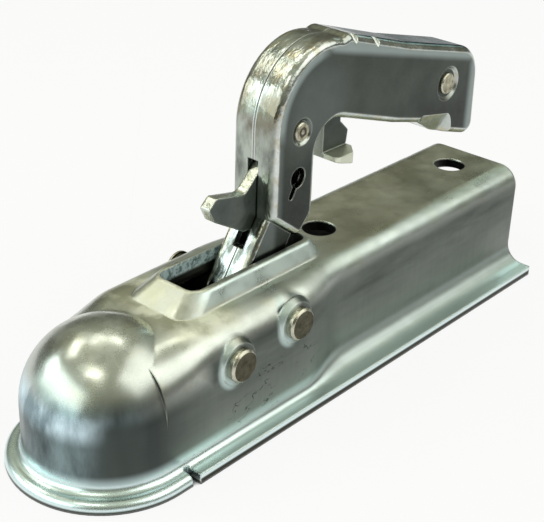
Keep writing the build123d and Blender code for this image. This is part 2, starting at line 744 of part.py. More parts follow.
# Safety catch: plate with nose, tail and web, finger tab folded to the left
tail_x = lever_pin_x + (jaw_sleeve_radius + free_gap) * cos(radians(tail_notch_deg))
tail_z = lever_pin_z + (jaw_sleeve_radius + free_gap) * sin(radians(tail_notch_deg))
tail_back_x = tail_x + catch_tail_width
arch_top_z = neck_rivet_z + 2.6 * sleeve_radius
with BuildPart() as catch_plate:
    with BuildSketch(Plane.XZ) as catch_outline:
        with BuildLine():
            Polyline((nose_top_x, nose_top_z), (nose_tip_x, nose_tip_z),
                     (nose_tip_x + nose_chin / 2, nose_tip_z - nose_chin),
                     (nose_root_x, nose_root_z),
                     (nose_root_x + 2 * sheet, nose_root_z),
                     (tail_x, tail_z + 3 * sheet), (tail_x, tail_z),
                     (tail_back_x, tail_z), (tail_back_x, tail_z + 2.5 * sheet),
                     (tail_back_x + sheet, tail_knee_z), (neck_rivet_x - sheet, nose_bridge_z),
                     (neck_rivet_x + 0.8 * sheet, neck_rivet_z - 2.4 * sheet),
                     (neck_rivet_x + 1.7 * sheet, neck_rivet_z - sheet / 2),
                     (tab_front - 2 * sheet, neck_rivet_z + sheet),
                     (tab_front, neck_rivet_z + sheet), (tab_front, tab_level),
                     (tab_rear, tab_level), (web_rear_x, web_rear_z),
                     (web_waist_x, web_waist_z), (web_waist_x, arch_top_z - sheet),
                     (tab_front, arch_top_z), (neck_rivet_x, arch_top_z - sheet),
                     (neck_rivet_x - 2 * sheet, neck_rivet_z + sheet / 2), (brow_x, brow_z),
                     (nose_bridge_x, nose_bridge_z), close=True)
        make_face()
        for x, z, radius in ((nose_top_x, nose_top_z, nose_round), (nose_tip_x, nose_tip_z, web_round),
                             (nose_tip_x + nose_chin / 2, nose_tip_z - nose_chin, nose_round),
                             (nose_bridge_x, nose_bridge_z, nose_bridge_round),
                             (web_rear_x, web_rear_z, web_round), (tab_rear, tab_level, web_round)):
            fillet(catch_outline.vertices().sort_by_distance((x, z))[0], radius)
        with Locations((neck_rivet_x, neck_rivet_z)):
            Circle(sleeve_radius + running_gap, mode=Mode.SUBTRACT)
    extrude(amount=catch_half, both=True)
    with BuildSketch(Plane.XZ.offset(-catch_half)):
        with BuildLine():
            Polyline((tab_front, tab_level), (tab_front, tab_level - tab_front_thickness),
                     (tab_knee_x, tab_level - tab_thickness),
                     (tab_rear, tab_level - tab_thickness), (tab_rear, tab_level), close=True)
        make_face()
    extrude(amount=tab_reach + catch_half)
    tips = catch_plate.faces().sort_by(Axis.Y)[0].edges().filter_by(Axis.Z).sort_by(Axis.X)
    chamfer(tips[0], tab_front_chamfer)
    tips = catch_plate.faces().sort_by(Axis.Y)[0].edges().filter_by(Axis.Z).sort_by(Axis.X)
    chamfer(tips[-1], tab_rear_chamfer)
catch_plate.part.label = "catch_plate"
export_step(catch_plate.part, "parts/catch_plate.step")

# Catch spring: small coil on the sleeve beside the plate, with two straight legs
catch_spring_y = catch_half + side_gap + catch_wire_radius + catch_coil_pitch * catch_coil_turns
with BuildPart() as catch_spring:
    add(coil(neck_rivet_x, catch_spring_y, neck_rivet_z, catch_coil_deg, catch_coil_pitch,
             catch_coil_turns, catch_coil_radius, catch_wire_radius,
             catch_leg_start, catch_leg_end))
catch_spring.part.label = "catch_spring"
export_step(catch_spring.part, "parts/catch_spring.step")

# Crank pin in the lever and link pin in the jaw
with BuildPart() as crank_pin:
    add(rivet_pin(crank_x, crank_z, link_pin_radius, arm_half, arm_half, link_head_radius,
                  rivet_head_thickness, rivet_head_thickness, rivet_chamfer))
crank_pin.part.label = "crank_pin"
export_step(crank_pin.part, "parts/crank_pin.step")

with BuildPart() as link_pin:
    add(rivet_pin(link_x, link_z, link_pin_radius, jaw_half, jaw_half, link_head_radius,
                  rivet_head_thickness, rivet_head_thickness, rivet_chamfer))
link_pin.part.label = "link_pin"
export_step(link_pin.part, "parts/link_pin.step")

# Link: bar with a hub at each end, the one in the jaw wider and with free play
link_bore = link_pin_radius + link_play
link_tilt = degrees(atan2(crank_z - link_z, crank_x - link_x))
with BuildPart() as link:
    with BuildSketch(Plane.XZ):
        with Locations((crank_x, crank_z)):
            Circle(link_hub_radius)
        with Locations((link_x, link_z)):
            Circle(link_hub_radius)
        with Locations(Location(((crank_x + link_x) / 2, (crank_z + link_z) / 2, 0),
                                (0, 0, link_tilt))):
            Rectangle(hypot(crank_x - link_x, crank_z - link_z), link_web)
    extrude(amount=link_half, both=True)
    with BuildSketch(Plane.XZ):
        with Locations((link_x, link_z)):
            Circle(link_hub_radius)
    extrude(amount=jaw_inside - free_gap, both=True)
    with BuildSketch(Plane.XZ):
        with Locations((crank_x, crank_z)):
            Circle(link_pin_radius + running_gap)
        with Locations((link_x, link_z)):
            Circle(link_bore)
    extrude(amount=jaw_half, both=True, mode=Mode.SUBTRACT)
link.part.label = "link"
export_step(link.part, "parts/link.step")

# Jaw: cup under the rear of the ball, two cheeks up to the hub and down to the link pin
pad_outer = seat_radius + jaw_pad_thickness
with BuildPart() as jaw:
    with BuildSketch(Plane.XZ):
        with Locations((jaw_pin_x, jaw_pin_z)):
            Circle(jaw_hub_radius)
        with Locations((link_x, link_z)):
            Circle(jaw_lug_radius)
        with Locations(Location((0, 0, 0), (0, 0, jaw_lip_deg))):
            with Locations((seat_radius + jaw_lip_radius / 2, 0)):
                Circle(jaw_lip_radius)
        make_hull()
    extrude(amount=jaw_half, both=True)
    with BuildSketch(Plane.XZ):
        with Locations((jaw_pin_x, jaw_pin_z)):
            Rectangle(4 * jaw_hub_radius, 8 * jaw_hub_radius)
        Circle(pad_outer, mode=Mode.SUBTRACT)
    extrude(amount=jaw_inside, both=True, mode=Mode.SUBTRACT)
    with BuildSketch(Plane.XZ):
        with Locations((jaw_pin_x, jaw_pin_z)):
            Circle(jaw_hub_radius + free_gap)
    extrude(amount=jaw_inside, both=True, mode=Mode.SUBTRACT)
    Sphere(seat_radius, mode=Mode.SUBTRACT)
    with BuildSketch(Plane.XZ):
        with Locations((jaw_pin_x, jaw_pin_z)):
            Circle(jaw_sleeve_radius + running_gap)
        with Locations((link_x, link_z)):
            Circle(link_pin_radius + running_gap)
    extrude(amount=2 * jaw_half, both=True, mode=Mode.SUBTRACT)
jaw.part.label = "jaw"
export_step(jaw.part, "parts/jaw.step")

# Main spring: coil round the front pin, one leg behind the jaw cup and one under the collar
with BuildPart() as main_spring:
    add(coil(jaw_pin_x, main_coil_pitch * main_coil_turns / 2, jaw_pin_z, main_coil_deg,
             main_coil_pitch, main_coil_turns, main_coil_radius, main_wire_radius,
             main_leg_start, main_leg_end))
main_spring.part.label = "main_spring"
export_step(main_spring.part, "parts/main_spring.step")
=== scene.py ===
import math

import bpy
from mathutils import Matrix, Vector


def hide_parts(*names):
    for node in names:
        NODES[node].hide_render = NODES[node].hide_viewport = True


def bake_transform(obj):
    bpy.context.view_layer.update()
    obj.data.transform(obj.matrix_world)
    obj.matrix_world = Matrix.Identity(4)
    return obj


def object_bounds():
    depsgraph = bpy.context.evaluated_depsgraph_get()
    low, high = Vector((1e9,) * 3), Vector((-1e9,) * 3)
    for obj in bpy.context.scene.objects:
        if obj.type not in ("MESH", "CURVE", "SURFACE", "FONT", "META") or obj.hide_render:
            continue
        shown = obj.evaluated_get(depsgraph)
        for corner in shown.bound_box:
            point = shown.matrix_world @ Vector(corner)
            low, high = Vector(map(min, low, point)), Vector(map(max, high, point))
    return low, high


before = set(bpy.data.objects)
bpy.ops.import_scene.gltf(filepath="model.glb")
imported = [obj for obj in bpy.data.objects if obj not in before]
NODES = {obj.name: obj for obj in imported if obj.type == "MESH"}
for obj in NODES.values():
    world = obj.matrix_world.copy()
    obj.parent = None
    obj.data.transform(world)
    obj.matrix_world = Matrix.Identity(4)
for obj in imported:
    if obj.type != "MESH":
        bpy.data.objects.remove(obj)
bpy.context.view_layer.update()
CAD_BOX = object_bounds()

# Places on the part as x and z in metres
JAW_PIN, LEVER_PIN = (0.0335, 0.0115), (0.0636, 0.0153)
NECK_RIVET, GRIP_RIVET = (0.0857, 0.0757), (0.177, 0.0714)
BEND_CENTRE = (0.1002, 0.077)
BOLT_HOLES_X = (0.111, 0.201)
GRIP_SLOPE = math.tan(math.radians(14.3))


class Graph:
    """A node tree that is built up node by node."""

    def __init__(self, owner):
        owner.use_nodes = True
        self.tree = owner.node_tree
        self.tree.nodes.clear()

    def node(self, kind):
        return self.tree.nodes.new(kind)

    def link(self, source, socket):
        self.tree.links.new(source, socket)

    def feed(self, socket, value):
        """Link a socket, or set a number or colour on it."""
        if isinstance(value, bpy.types.NodeSocket):
            self.link(value, socket)
        elif isinstance(value, tuple) and len(socket.default_value) == 4:
            socket.default_value = (*value, 1)
        else:
            socket.default_value = value

    def split(self, vector):
        parts = self.node("ShaderNodeSeparateXYZ")
        self.link(vector, parts.inputs[0])
        return tuple(parts.outputs)

    def math(self, operation, a, b=0.0):
        node = self.node("ShaderNodeMath")
        node.operation = operation
        self.feed(node.inputs[0], a)
        self.feed(node.inputs[1], b)
        return node.outputs[0]

    def chain(self, operation, values):
        result = values[0]
        for value in values[1:]:
            result = self.math(operation, result, value)
        return result

    def times(self, *values):
        return self.chain("MULTIPLY", values)

    def total(self, *values):
        return self.chain("ADD", values)

    def most(self, *values):
        return self.chain("MAXIMUM", values)

    def rest(self, value, whole=1.0):
        return self.math("SUBTRACT", whole, value)

    def size(self, value):
        return self.math("ABSOLUTE", value)

    def span(self, value, low, high, start=0.0, end=1.0, smooth=False):
        """Map a value from low..high to start..end, held at both ends."""
        node = self.node("ShaderNodeMapRange")
        node.interpolation_type = "SMOOTHSTEP" if smooth else "LINEAR"
        self.feed(node.inputs["Value"], value)
        node.inputs["From Min"].default_value = low
        node.inputs["From Max"].default_value = high
        node.inputs["To Min"].default_value = start
        node.inputs["To Max"].default_value = end
        return node.outputs[0]


class Mat(Graph):
    """A procedural material: colours are painted over one another, and bumps pile up."""

    def __init__(self, name):
        self.mat = bpy.data.materials.new(name)
        super().__init__(self.mat)
        self.bsdf = self.node("ShaderNodeBsdfPrincipled")
        output = self.node("ShaderNodeOutputMaterial")
        self.link(self.bsdf.outputs[0], output.inputs[0])
        self.coords = self.node("ShaderNodeTexCoord")
        self.place = self.split(self.coords.outputs["Object"])
        self.facing = self.split(self.coords.outputs["Normal"])
        self.colour = None
        self.normal = None

    def noise(self, scale, detail=3.0, rough=0.55, stretch=(1, 1, 1), offset=(0, 0, 0), turn=(0, 0, 0)):
        mapping = self.node("ShaderNodeMapping")
        mapping.inputs["Scale"].default_value = stretch
        mapping.inputs["Location"].default_value = offset
        mapping.inputs["Rotation"].default_value = turn
        self.link(self.coords.outputs["Object"], mapping.inputs[0])
        texture = self.node("ShaderNodeTexNoise")
        texture.inputs["Scale"].default_value = scale
        texture.inputs["Detail"].default_value = detail
        texture.inputs["Roughness"].default_value = rough
        self.link(mapping.outputs[0], texture.inputs["Vector"])
        return texture.outputs["Fac"]

    def sideways(self, start, full):
        """Mask of what faces along Y, to either side."""
        return self.span(self.size(self.facing[1]), start, full, smooth=True)

    def band(self, value, centre, half, soft):
        """1 within half of the centre, falling to 0 over the soft width."""
        away = self.size(self.math("SUBTRACT", value, centre))
        return self.span(away, half, half + soft, 1.0, 0.0, smooth=True)

    def radial(self, centre, across=(0, 2)):
        """Distance from an axis through this centre; across are the two coordinates it is given in."""
        squares = []
        for axis, middle in zip(across, centre):
            away = self.math("SUBTRACT", self.place[axis], middle)
            squares.append(self.times(away, away))
        return self.math("SQRT", self.total(*squares))

    def mix(self, factor, a, b):
        node = self.node("ShaderNodeMix")
        node.data_type = "RGBA"
        self.feed(node.inputs[0], factor)
        self.feed(node.inputs[6], a)
        self.feed(node.inputs[7], b)
        return node.outputs[2]

    def blotches(self, pattern, low, high, dark, light):
        """A colour between dark and light, as the pattern goes from low to high."""
        return self.mix(self.span(pattern, low, high), dark, light)

    def paint(self, mask, colour):
        """Lay a colour over what is there, where the mask says."""
        self.colour = self.mix(mask, self.colour, colour)

    def bevel(self, radius):
        """Round the shading of sharp edges; it comes before the bumps."""
        node = self.node("ShaderNodeBevel")
        node.samples = 6
        node.inputs["Radius"].default_value = radius
        self.normal = node.outputs[0]

    def edges(self):
        """1 on sharp edges, where the rounded normal leaves the true one."""
        geometry = self.node("ShaderNodeNewGeometry")
        dot = self.node("ShaderNodeVectorMath")
        dot.operation = "DOT_PRODUCT"
        self.link(self.normal, dot.inputs[0])
        self.link(geometry.outputs["True Normal"], dot.inputs[1])
        return self.span(dot.outputs["Value"], 0.99, 0.90)

    def bump(self, height, distance):
        node = self.node("ShaderNodeBump")
        node.inputs["Distance"].default_value = distance
        self.link(height, node.inputs["Height"])
        self.link(self.normal, node.inputs["Normal"])
        self.normal = node.outputs[0]

    def finish(self, roughness, metallic=1.0):
        self.feed(self.bsdf.inputs["Base Color"], self.colour)
        self.feed(self.bsdf.inputs["Roughness"], roughness)
        self.feed(self.bsdf.inputs["Metallic"], metallic)
        self.link(self.normal, self.bsdf.inputs["Normal"])
        return self.mat


def zinc_plate(m, bright, warm, dull, patch):
    """Bright zinc with soft clouds, warm stains and a fine grain; gives the clouds and the grain."""
    cloud = m.noise(patch, 5, 0.6)
    stain = m.noise(patch * 2.3, 4, 0.65, offset=(0.7, 0.2, 0.4))
    grain = m.noise(2200.0, 2, 0.6)
    m.colour = m.blotches(cloud, 0.36, 0.64, dull, bright)
    m.paint(m.span(stain, 0.50, 0.68), warm)
    m.paint(m.span(grain, 0.3, 0.7, 0.0, 0.10), (0.05, 0.05, 0.05))
    return cloud, grain


def housing_wall_shade_mask(m, above_foot, step):
    """Mask of the painted shade on the side walls of box and dome, on the step between them and round the
    pin bosses.
    """
    x, _, z = m.place
    box = m.times(m.sideways(0.72, 0.98), m.span(z, 0.025, 0.016, smooth=True), m.span(x, 0.010, 0.022))
    dome = m.times(m.sideways(0.45, 0.78), m.span(z, 0.021, 0.005, smooth=True), m.span(x, 0.036, 0.022))
    # Painted shade on the step face, over its crease
    step_face = m.times(step, m.span(m.facing[0], -0.5, -0.85), m.span(z, 0.004, 0.016, 0.6, 1.0))
    wall_shade_parts = [box, dome, step_face]
    # Painted shade ring round each pin boss
    for pin in (JAW_PIN, LEVER_PIN):
        wall_shade_parts.append(m.times(m.span(m.radial(pin), 0.0105, 0.0088), m.sideways(0.1, 0.4),
                             m.span(x, pin[0] - 0.002, pin[0] + 0.002)))
    return m.times(m.most(*wall_shade_parts), above_foot)


def wall_shade_colour(m, streak, drawn):
    """Painted shade of the walls: darkest under the shoulder, cooler and darker still at the dome, with
    drawn streaks.
    """
    x, _, z = m.place
    shaded_skin = m.mix(m.span(z, -0.013, 0.013, smooth=True), (0.180, 0.203, 0.178), (0.072, 0.084, 0.074))
    shaded_skin = m.mix(m.span(streak, 0.38, 0.68, 0.0, 0.5), shaded_skin, (0.22, 0.245, 0.215))
    drape = m.noise(38.0, 2, 0.5, (1, 1, 0.3), (0.6, 0.2, 0.3))
    dome_shade = m.blotches(drape, 0.40, 0.66, (0.032, 0.040, 0.038), (0.095, 0.118, 0.110))
    shaded_skin = m.mix(m.times(m.span(x, 0.024, -0.004), 0.85), shaded_skin, dome_shade)
    return m.mix(m.span(drawn, 0.45, 0.75, 0.0, 0.14), shaded_skin, (0.06, 0.07, 0.06))


def paint_nose_reflection(m, above_foot):
    """Painted reflection on the front of the dome: cool bright streaks, with a painted dark band above the
    rim.
    """
    x, _, z = m.place
    nose = m.times(m.span(z, 0.016, 0.008, smooth=True), m.span(x, 0.0, -0.014, smooth=True))
    smear = m.noise(75.0, 4, 0.6, (1, 1, 0.35), (0.4, 0.1, 0.7), (0.5, 0.3, 0))
    bright = m.blotches(smear, 0.40, 0.58, (0.24, 0.33, 0.36), (0.70, 0.88, 0.95))
    dark = m.blotches(smear, 0.38, 0.64, (0.055, 0.072, 0.074), (0.22, 0.29, 0.30))
    # Painted bright reflection, fading to painted shade just above the rim
    m.paint(m.times(nose, above_foot), m.mix(m.span(z, 0.0065, -0.001, smooth=True), bright, dark))


def paint_housing_highlights(m, cloud):
    """Painted highlights and reflections: pale crescents by the bosses, cool bands on the shoulders and
    collar flanks, olive on the channel top, a cool bright foot and flange, dimmer in the fillet.
    """
    x, _, z = m.place
    # Painted pale highlight crescent beside each pin boss
    for pin in (JAW_PIN, LEVER_PIN):
        gleam = m.times(m.band(m.radial(pin), 0.0076, 0.0010, 0.0020), m.sideways(0.1, 0.4),
                        m.span(x, pin[0] + 0.001, pin[0] - 0.005, smooth=True))
        m.paint(m.times(gleam, 0.75), (0.52, 0.64, 0.62))
    # Painted cool highlight bands on the shoulders and the collar flanks
    shoulder = m.times(m.band(m.size(m.facing[1]), 0.55, 0.2, 0.25), m.span(z, 0.006, 0.012),
                       m.span(x, 0.06, 0.10))
    flank = m.times(m.span(z, 0.0260, 0.0272), m.sideways(0.2, 0.6), m.span(x, 0.030, 0.036))
    m.paint(m.most(m.times(shoulder, 0.5), m.times(flank, 0.7)), (0.60, 0.72, 0.71))
    # Painted olive reflection on the up-facing channel top
    roof = m.times(m.span(m.facing[2], 0.90, 0.998, smooth=True), m.span(x, 0.095, 0.112, smooth=True),
                   m.span(z, 0.0, 0.01))
    m.paint(m.times(roof, 0.9), m.blotches(cloud, 0.38, 0.62, (0.36, 0.36, 0.28), (0.58, 0.58, 0.48)))
    # Painted cool bright reflection on the foot and flange, dimmer in the fillet
    foot = m.span(z, -0.0110, -0.0165, smooth=True)
    fillet = m.times(m.span(z, -0.0178, -0.0165), m.span(x, 0.02, 0.05))
    m.paint(m.times(foot, 0.75), (0.80, 0.97, 0.98))
    m.paint(m.times(foot, fillet, 0.8), (0.40, 0.445, 0.43))


def paint_scratches(m, shaded_wall):
    """Thin dark scratches below the two cross pins."""
    x, y, z = m.place
    crack = m.band(m.noise(150.0, 3, 0.6, (0.55, 1, 1.1), (0.3, 0.1, 0.2), (0, 0.7, 0)), 0.5, 0.004, 0.010)
    zone = m.times(m.band(x, 0.050, 0.022, 0.010), m.band(z, -0.004, 0.007, 0.006), shaded_wall,
                   m.span(y, -0.02, -0.022), m.span(m.noise(120.0, 2), 0.52, 0.58))
    m.paint(m.times(crack, zone, 0.85), (0.02, 0.025, 0.02))


def paint_housing_inside(m, streak):
    """Painted shade inside and in the bolt holes, painted bright reflection specks on the slot wall, dark
    cut edges and painted shade under the flange; gives two of the masks.
    """
    _, y, z = m.place
    inwards = m.total(m.times(y, m.facing[1]), m.times(m.most(z, 0.0), m.facing[2]))
    inside = m.span(inwards, -0.002, -0.006)
    # Painted shade on the inner faces, blotched
    inside_shade = m.blotches(streak, 0.35, 0.65, (0.05, 0.05, 0.045), (0.11, 0.11, 0.10))
    m.paint(m.times(inside, 0.92), inside_shade)
    for hole_x in BOLT_HOLES_X:
        # Painted shade in the bolt holes
        bore = m.times(m.span(m.radial((hole_x, 0.0), across=(0, 1)), 0.0074, 0.0069),
                       m.span(m.facing[2], 0.7, 0.3), m.span(z, 0.0254, 0.0246))
        m.paint(m.times(bore, 0.9), (0.05, 0.05, 0.045))
    # Painted bright reflection specks on the upper slot wall
    slot_wall = m.times(m.span(y, 0.0088, 0.0091), m.span(y, 0.0102, 0.0098),
                        m.span(m.facing[1], -0.7, -0.95), m.span(z, 0.0262, 0.0274))
    specks = m.noise(420.0, 3, 0.7)
    m.paint(slot_wall, m.blotches(specks, 0.40, 0.55, (0.20, 0.30, 0.33), (0.75, 0.95, 1.0)))
    cut = m.times(m.span(z, -0.0194, -0.0201), m.span(m.size(y), 0.0355, 0.0360), m.sideways(0.85, 0.95))
    # Painted shade on the underside of the flange
    under = m.times(m.span(z, -0.0204, -0.0211), m.span(m.facing[2], 0.45, 0.15))
    m.paint(m.most(cut, m.times(under, 0.95)), (0.034, 0.034, 0.024))
    return inside, slot_wall


def housing_zinc():
    """Deep-drawn housing: bright dome and shoulders with painted highlights, painted shade on the side walls
    and inside, dark cut edges.
    """
    m = Mat("zinc_housing_plate")
    x, _, z = m.place
    cloud, grain = zinc_plate(m, (0.66, 0.70, 0.65), (0.57, 0.59, 0.46), (0.52, 0.55, 0.50), 22.0)
    streak = m.noise(60.0, 4, 0.6, (0.3, 1, 1.4))
    drawn = m.noise(420.0, 3, 0.6, (1, 1, 0.12), (0.2, 0.5, 0.1))
    blotch = m.noise(85.0, 5, 0.62, offset=(0.2, 0.6, 0.9))
    above_foot = m.span(z, -0.0168, -0.0135, smooth=True)
    # Place of the narrow face where the box stands out past the dome
    step = m.times(m.band(x, 0.0, 0.002, 0.002), m.span(z, -0.004, 0.0), m.span(z, 0.026, 0.021))
    # Mask of the walls that get painted shade
    shaded_wall = housing_wall_shade_mask(m, above_foot, step)
    paint_nose_reflection(m, above_foot)
    m.paint(shaded_wall, wall_shade_colour(m, streak, drawn))
    paint_housing_highlights(m, cloud)
    # Painted warm highlight on the up-facing saddle between dome and collar
    saddle = m.times(m.band(x, 0.027, 0.006, 0.012), m.span(m.facing[2], 0.75, 0.95),
                     m.span(z, 0.018, 0.021))
    m.paint(m.times(saddle, 0.8), m.blotches(blotch, 0.42, 0.60, (0.56, 0.56, 0.42), (0.95, 0.95, 0.82)))
    paint_scratches(m, shaded_wall)
    inside, slot_wall = paint_housing_inside(m, streak)
    m.bevel(0.0012)
    # Painted highlight along sharp edges, weaker on the step face
    m.paint(m.times(m.edges(), m.rest(m.times(step, 0.3), 0.3)), (0.78, 0.82, 0.77))
    patchy = m.times(m.span(blotch, 0.38, 0.62, -0.09, 0.09), m.span(z, 0.016, 0.026))
    rough = m.total(m.span(cloud, 0.3, 0.7, 0.24, 0.30), m.times(m.span(x, 0.012, 0.040, smooth=True), 0.08),
                    m.times(saddle, 0.14), m.times(shaded_wall, 0.06), patchy,
                    m.span(grain, 0.3, 0.7, -0.01, 0.02), m.times(inside, 0.15))
    m.bump(m.noise(55.0, 2, 0.5, offset=(0.1, 0.9, 0.5)), 0.0003)
    m.bump(drawn, 0.000006)
    return m.finish(rough, m.rest(m.times(slot_wall, 0.85)))


def lever_shade_mask(m):
    """Mask of the painted shade on the flat sides and in the dimples round the two rivets."""
    x, _, z = m.place
    # The painted shade spares a bright lower lip at the neck and a bright rear at the grip
    neck_dimple = m.times(m.span(m.radial(NECK_RIVET), 0.0075, 0.0066), m.span(z, 0.0722, 0.0732))
    grip_dimple = m.times(m.span(m.radial(GRIP_RIVET), 0.0095, 0.0085),
                          m.span(x, 0.1815, 0.1775, 0.35, 1.0))
    dimple = m.times(m.most(neck_dimple, grip_dimple), m.sideways(0.1, 0.3))
    return m.most(m.sideways(0.955, 0.9995), m.times(dimple, 0.85))


def paint_lever_front(m, front):
    """Brown tarnish on neck and bend, a duller neck, and a blotched arm with brown corners."""
    x, y, z = m.place
    tarnish = m.span(m.noise(34.0, 6, 0.62, (1, 2.0, 1), (0.15, 0.55, 0.35)), 0.47, 0.62)
    above_kink = m.times(m.span(z, 0.050, 0.062), m.span(x, 0.118, 0.106))
    m.paint(m.times(tarnish, front, above_kink, 0.82), (0.20, 0.165, 0.10))
    neck = m.times(m.span(z, 0.088, 0.070, smooth=True), m.span(z, 0.043, 0.050), front,
                   m.span(x, 0.090, 0.084))
    # Darker mottled neck front
    neck_mottle = m.noise(90.0, 5, 0.6, (1, 1.5, 0.6))
    m.paint(m.times(neck, 0.85), m.blotches(neck_mottle, 0.40, 0.62, (0.12, 0.135, 0.115), (0.44, 0.49, 0.43)))
    arm = m.times(m.span(z, 0.048, 0.042), front)
    blotch = m.noise(210.0, 4, 0.6, (1, 1.6, 0.6), (0.3, 0.7, 0.2))
    arm_skin = m.blotches(blotch, 0.42, 0.60, (0.15, 0.165, 0.145), (0.66, 0.74, 0.74))
    corner = m.times(m.band(m.size(y), 0.0066, 0.0008, 0.0010), m.span(blotch, 0.35, 0.55))
    arm_skin = m.mix(m.times(corner, 0.8), arm_skin, (0.30, 0.26, 0.15))
    m.paint(m.times(arm, 0.9), arm_skin)


def lever_shade_colour(m, streak):
    """Painted shade of the sides, lighter in the inner bend, with a painted highlight along the raised
    border.
    """
    x, _, z = m.place
    shaded_skin = m.mix(m.span(z, 0.050, 0.078, smooth=True), (0.024, 0.028, 0.024), (0.050, 0.059, 0.050))
    shaded_skin = m.mix(m.span(streak, 0.38, 0.68, 0.0, 0.45), shaded_skin, (0.10, 0.113, 0.10))
    along_grip = m.total(z, m.times(x, GRIP_SLOPE))
    grip = m.times(m.span(along_grip, 0.1258, 0.1290, smooth=True), m.span(x, 0.094, 0.102))
    bend = m.times(m.span(m.radial(BEND_CENTRE), 0.0222, 0.0258, smooth=True),
                   m.span(x, 0.102, 0.094), m.span(z, 0.072, 0.079))
    neck = m.times(m.span(x, 0.0772, 0.0735, smooth=True), m.span(z, 0.079, 0.072))
    tail = m.span(x, 0.1905, 0.1955, smooth=True)
    # Painted highlight along the raised border of grip, bend, neck and tail, and lighter in the inner bend
    border_highlight = m.most(grip, bend, m.times(neck, 0.35), tail)
    inner_bend = m.span(m.radial((0.094, 0.084)), 0.026, 0.004, smooth=True)
    shaded_skin = m.mix(m.most(m.times(border_highlight, 0.9), m.times(inner_bend, 0.16)), shaded_skin, (0.31, 0.365, 0.35))
    return m.mix(m.span(m.noise(3000.0, 2, 0.7), 0.58, 0.75, 0.0, 0.35), shaded_skin, (0.22, 0.24, 0.22))


def lever_zinc():
    """Lever half shells: painted shade on the sides, painted highlights on the rounded edges, and a crinkled
    front with a seam.
    """
    m = Mat("zinc_lever_plate")
    x, y, z = m.place
    cloud, grain = zinc_plate(m, (0.70, 0.74, 0.70), (0.50, 0.46, 0.33), (0.42, 0.46, 0.43), 75.0)
    streak = m.noise(45.0, 4, 0.6)
    # Mask of the sides that get painted shade
    shaded_side = lever_shade_mask(m)
    paint_lever_front(m, m.rest(m.sideways(0.5, 0.85)))
    m.paint(shaded_side, lever_shade_colour(m, streak))
    # Painted dark cool reflection on the up-facing top of the grip, also in its specular tint
    grip_top_shade = m.times(m.span(m.facing[2], 0.6, 0.9), m.span(x, 0.112, 0.122), m.span(z, 0.070, 0.075))
    m.paint(m.times(grip_top_shade, 0.85), m.blotches(streak, 0.4, 0.6, (0.13, 0.155, 0.155), (0.26, 0.30, 0.30)))
    m.feed(m.bsdf.inputs["Specular Tint"], m.mix(grip_top_shade, (1.0, 1.0, 1.0), (0.22, 0.26, 0.27)))
    # Seam where the half shells meet: a dark line, with a painted highlight on the lips either side
    seam = m.times(m.band(y, 0.0, 0.00016, 0.00014), m.rest(shaded_side))
    lip_highlight = m.times(m.band(y, 0.0, 0.0006, 0.0003), m.rest(shaded_side))
    m.paint(m.times(lip_highlight, 0.6), (0.80, 0.84, 0.80))
    m.paint(m.times(seam, 0.85), (0.05, 0.05, 0.045))
    # Painted shade on the inner faces of the shells
    inside = m.span(m.times(y, m.facing[1]), -0.0015, -0.004)
    m.paint(m.times(inside, 0.9), (0.07, 0.07, 0.065))
    m.bevel(0.0009)
    # Painted highlight along sharp edges
    m.paint(m.times(m.edges(), 0.35), (0.78, 0.82, 0.78))
    crinkle = m.noise(120.0, 4, 0.5, (1, 2.2, 1), (0.4, 0.3, 0.6))
    calm = m.times(m.span(shaded_side, 0.0, 1.0, 1.0, 0.08), m.span(x, 0.118, 0.106, 0.15, 1.0))
    m.bump(m.times(crinkle, calm), 0.0006)
    m.bump(m.rest(seam), 0.00012)
    m.bump(grain, 0.000006)
    return m.finish(m.total(m.span(cloud, 0.3, 0.7, 0.13, 0.24), m.times(shaded_side, 0.20),
                            m.span(grain, 0.3, 0.7, -0.01, 0.03)))


def catch_zinc():
    """Safety catch: painted shade on the side faces of the nose and behind the neck, a painted cream
    reflection on the folded finger tab.
    """
    m = Mat("zinc_catch_plate")
    x, y, _ = m.place
    cloud, _ = zinc_plate(m, (0.74, 0.77, 0.68), (0.62, 0.62, 0.46), (0.56, 0.60, 0.53), 60.0)
    behind = m.span(x, 0.098, 0.104)
    tab = m.times(behind, m.span(y, -0.0026, -0.0034))
    # Painted shade behind the neck, under the grip
    m.paint(m.times(behind, 0.7), (0.20, 0.22, 0.19))
    # Painted cream reflection on the folded finger tab
    m.paint(m.times(tab, 0.85), (0.90, 0.93, 0.77))
    shaded_side = m.times(m.sideways(0.9, 0.99), m.rest(m.times(tab, 0.8)))
    # Painted shade on the side faces
    m.paint(shaded_side, m.blotches(cloud, 0.35, 0.65, (0.06, 0.072, 0.064), (0.115, 0.13, 0.118)))
    m.bevel(0.0010)
    # Painted highlight along sharp edges
    m.paint(m.times(m.edges(), 0.6), (0.80, 0.84, 0.76))
    m.bump(m.noise(150.0, 3), 0.0004)
    return m.finish(m.total(m.span(cloud, 0.3, 0.7, 0.18, 0.28), m.times(shaded_side, 0.12),
                            m.times(behind, 0.22)))


